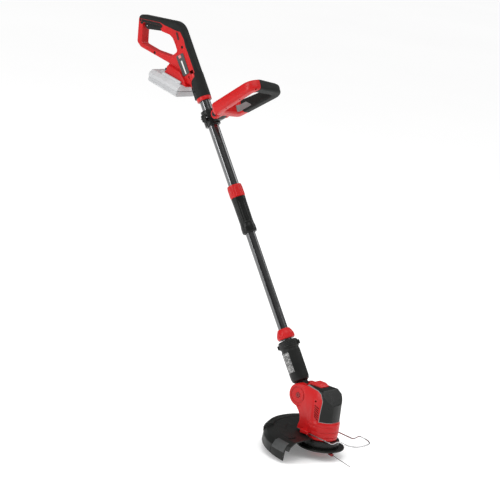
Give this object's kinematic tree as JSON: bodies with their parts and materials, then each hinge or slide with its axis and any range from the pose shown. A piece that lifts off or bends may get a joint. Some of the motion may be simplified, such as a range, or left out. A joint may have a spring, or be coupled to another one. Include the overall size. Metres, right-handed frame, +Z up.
{
  "type": "cordless grass trimmer and lawn edger",
  "caption": "Cordless grass trimmer and edger: loop rear handle with battery, telescopic shaft, auxiliary loop grip, tilting motor head, guard and line head.",
  "frame": {"origin": "centre of the tap knob's flat underside, on the spindle's axis", "axes": "+Z up along the spindle's axis, +X forward, +Y the machine's left; the shaft leans back in the XZ plane"},
  "size_m": [0.9057, 0.2849, 0.9803],
  "materials": {
    "red_plastic": "satin moulded",
    "dark_red_plastic": "satin moulded",
    "black_plastic": "satin moulded",
    "soft_grip": "matt soft-touch",
    "grey_plastic": "matt",
    "pale_plastic": "satin moulded",
    "label": "printed film, plain",
    "tube": "dark anodised",
    "steel": "bright",
    "board": "solder mask",
    "nylon_line": "extruded"
  },
  "bodies": {
    "rear_handle": {"handle_left": "red_plastic", "handle_right": "red_plastic", "grip_overmould": "soft_grip", "handle_ring": "red_plastic", "handle_screw_1": "steel", "handle_screw_2": "steel", "handle_screw_3": "steel", "handle_screw_4": "steel", "handle_screw_5": "steel", "side_badge": "label", "switch_unit": "black_plastic", "control_board": "board", "terminal_block": "black_plastic", "handle_lead": "black_plastic", "trigger_pin": "steel", "upper_tube": "tube", "telescope_nut": "red_plastic", "collet": "black_plastic"},
    "trigger": {"trigger": "black_plastic"},
    "lock_button": {"lock_button": "dark_red_plastic"},
    "battery": {"battery_lower": "pale_plastic", "battery_upper": "pale_plastic", "cell_pack": "steel", "battery_board": "board"},
    "battery_button": {"battery_button": "dark_red_plastic"},
    "clamp": {"clamp_rear": "black_plastic", "clamp_front": "black_plastic", "clamp_screw_left": "steel", "clamp_screw_right": "steel", "loop_bolt": "steel"},
    "loop": {"loop_lower": "red_plastic", "loop_upper": "red_plastic", "loop_grip": "soft_grip"},
    "twist_sleeve": {"twist_sleeve": "black_plastic"},
    "lower_shaft": {"lower_tube": "tube", "coiled_lead": "black_plastic"},
    "swivel_collar": {"swivel_collar": "red_plastic"},
    "sleeve": {"head_sleeve": "black_plastic", "sleeve_label": "label"},
    "head": {"motor_housing_left": "red_plastic", "motor_housing_right": "red_plastic", "motor_cover": "black_plastic", "motor": "steel", "guard": "black_plastic", "line_cutter": "steel", "pivot_pin": "dark_red_plastic"},
    "tilt_pedal": {"tilt_pedal": "red_plastic"},
    "wire_guard": {"wire_guard": "steel"},
    "line_head": {"spindle": "steel", "spool_cap": "black_plastic", "spool_housing": "black_plastic", "spool": "grey_plastic", "tap_spring": "steel", "line_eyelet": "dark_red_plastic", "cutting_line": "nylon_line"},
    "tap_knob": {"tap_knob": "red_plastic"}
  },
  "joints": [
    {"name": "trigger_pull", "type": "hinge", "parent": "rear_handle", "child": "trigger", "pos_m": [-0.74098, 0, 0.94968], "axis": [0, -1, 0], "range_deg": [0, 4.5], "stiffness_Nm_per_rad": 2},
    {"name": "lock_push", "type": "slide", "parent": "rear_handle", "child": "lock_button", "axis": [0, 1, 0], "range_m": [0, 0.003], "stiffness_N_per_m": 600},
    {"name": "battery_slide", "type": "slide", "parent": "rear_handle", "child": "battery", "axis": [-0.9744, 0, 0.225], "range_m": [0, 0.11]},
    {"name": "battery_release", "type": "slide", "parent": "battery", "child": "battery_button", "axis": [0.9744, 0, -0.225], "range_m": [0, 0.003], "stiffness_N_per_m": 600},
    {"name": "clamp_slide", "type": "slide", "parent": "rear_handle", "child": "clamp", "axis": [0.5621, 0, -0.8271], "range_m": [-0.02, 0.15]},
    {"name": "loop_tilt", "type": "hinge", "parent": "clamp", "child": "loop", "pos_m": [-0.46061, 0, 0.76798], "axis": [0, -1, 0], "range_deg": [-30, 40]},
    {"name": "twist_lock", "type": "hinge", "parent": "rear_handle", "child": "twist_sleeve", "pos_m": [-0.33892, 0, 0.52665], "axis": [-0.5621, 0, 0.8271], "range_deg": [0, 60]},
    {"name": "telescope", "type": "slide", "parent": "rear_handle", "child": "lower_shaft", "axis": [-0.5621, 0, 0.8271], "range_m": [0, 0.2]},
    {"name": "collar_lift", "type": "slide", "parent": "lower_shaft", "child": "swivel_collar", "axis": [-0.5621, 0, 0.8271], "range_m": [0, 0.008], "stiffness_N_per_m": 600},
    {"name": "head_turn", "type": "hinge", "parent": "lower_shaft", "child": "sleeve", "pos_m": [-0.12421, 0, 0.21071], "axis": [-0.5621, 0, 0.8271], "range_deg": [0, 180]},
    {"name": "head_tilt", "type": "hinge", "parent": "sleeve", "child": "head", "pos_m": [-0.068, 0, 0.128], "axis": [0, 1, 0], "range_deg": [0, 45]},
    {"name": "pedal_press", "type": "hinge", "parent": "head", "child": "tilt_pedal", "pos_m": [-0.008, 0, 0.157], "axis": [0, -1, 0], "range_deg": [0, 3.2], "stiffness_Nm_per_rad": 2},
    {"name": "wire_guard_slide", "type": "slide", "parent": "head", "child": "wire_guard", "axis": [-0.9972, 0, 0.075], "range_m": [0, 0.035]},
    {"name": "spindle_spin", "type": "hinge", "parent": "head", "child": "line_head", "pos_m": [0, 0, 0.04], "axis": [0, 0, 1], "continuous": true},
    {"name": "tap_press", "type": "slide", "parent": "line_head", "child": "tap_knob", "axis": [0, 0, 1], "range_m": [0, 0.0012], "stiffness_N_per_m": 900}
  ]
}
